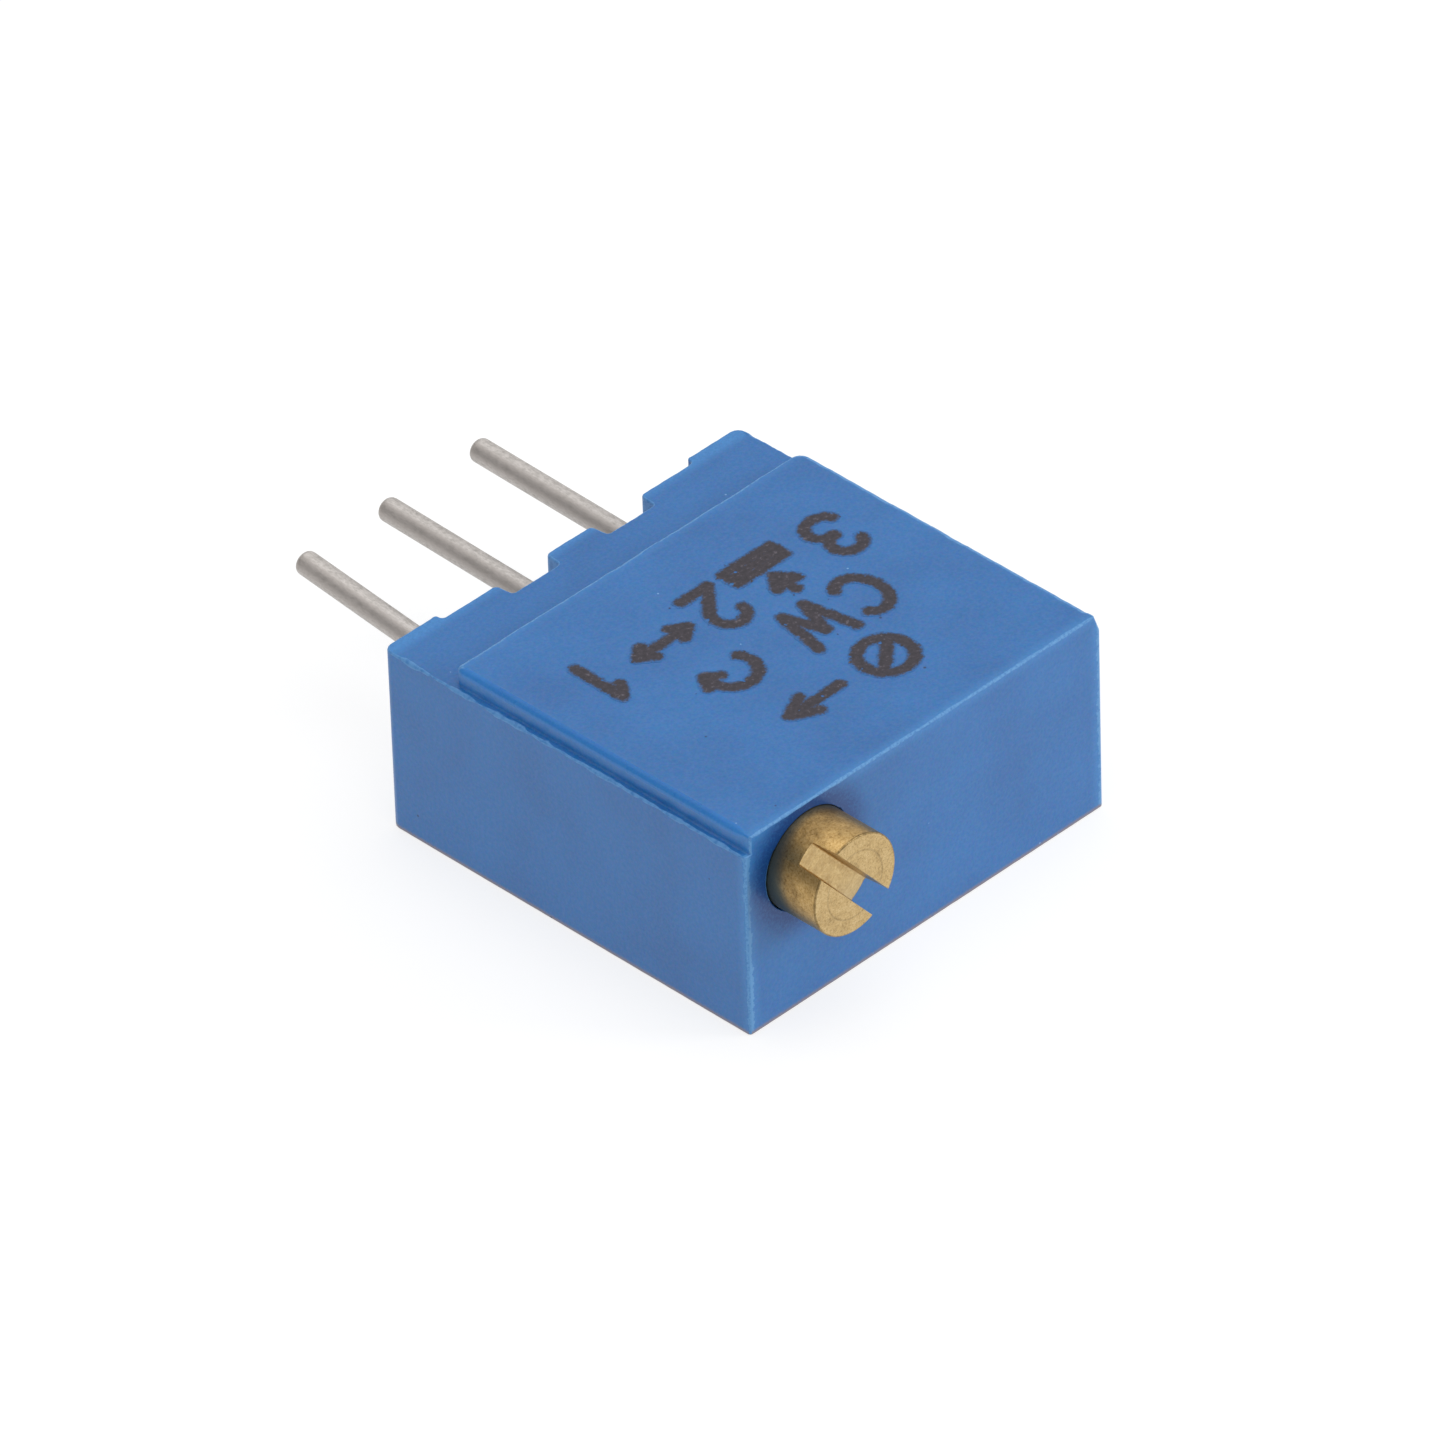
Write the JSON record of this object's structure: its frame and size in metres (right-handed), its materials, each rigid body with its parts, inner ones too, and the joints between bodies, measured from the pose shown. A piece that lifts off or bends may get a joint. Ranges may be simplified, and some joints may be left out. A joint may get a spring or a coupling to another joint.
{
  "type": "trimmer potentiometer",
  "caption": "Square multi-turn trimmer with a side adjusting screw, worm-driven wiper and three in-line round pins.",
  "frame": {"origin": "middle of the flat back face, which the part lies on", "axes": "+Z out of the marked panel, +Y along the pins, -Y out of the screw face, +X from pin 1 to pin 3"},
  "size_m": [0.0096, 0.0158, 0.0046],
  "materials": {
    "case_plastic": "satin moulded thermoplastic, blue",
    "seal_epoxy": "cured epoxy, dark blue",
    "alumina": "fired ceramic, off-white",
    "cermet_ink": "fired film, near black",
    "silver_ink": "fired silver film, dull",
    "tinned_wire": "tinned, satin",
    "clip_steel": "stamped sheet",
    "screw_brass": "turned, slightly tarnished",
    "seal_rubber": "matt",
    "wheel_nylon": "natural nylon",
    "wiper_alloy": "spring alloy sheet"
  },
  "bodies": {
    "case": {"housing": "case_plastic", "back_cover": "case_plastic", "cover_seal": "seal_epoxy", "pin_seal": "seal_epoxy", "substrate": "alumina", "resistive_track": "cermet_ink", "collector_track": "silver_ink", "end_conductor_1": "silver_ink", "end_conductor_3": "silver_ink", "pin_1": "tinned_wire", "pin_2": "tinned_wire", "pin_3": "tinned_wire", "solder_1": "tinned_wire", "solder_2": "tinned_wire", "solder_3": "tinned_wire", "screw_retainer": "clip_steel"},
    "screw": {"adjusting_screw": "screw_brass", "o_ring": "seal_rubber"},
    "rotor": {"worm_wheel": "wheel_nylon", "wiper": "wiper_alloy"}
  },
  "joints": [
    {"name": "screw_turn", "type": "hinge", "parent": "case", "child": "screw", "pos_m": [-0.00313, 0, 0.00327], "axis": [0, 1, 0], "range_deg": [-4500, 4500]},
    {"name": "wiper_turn", "type": "hinge", "parent": "case", "child": "rotor", "pos_m": [0.00056, 0, 0], "axis": [0, 0, 1], "range_deg": [-150, 150]}
  ],
  "couplings": [
    {"joint": "wiper_turn", "follows": "screw_turn", "ratio": 0.033333}
  ]
}
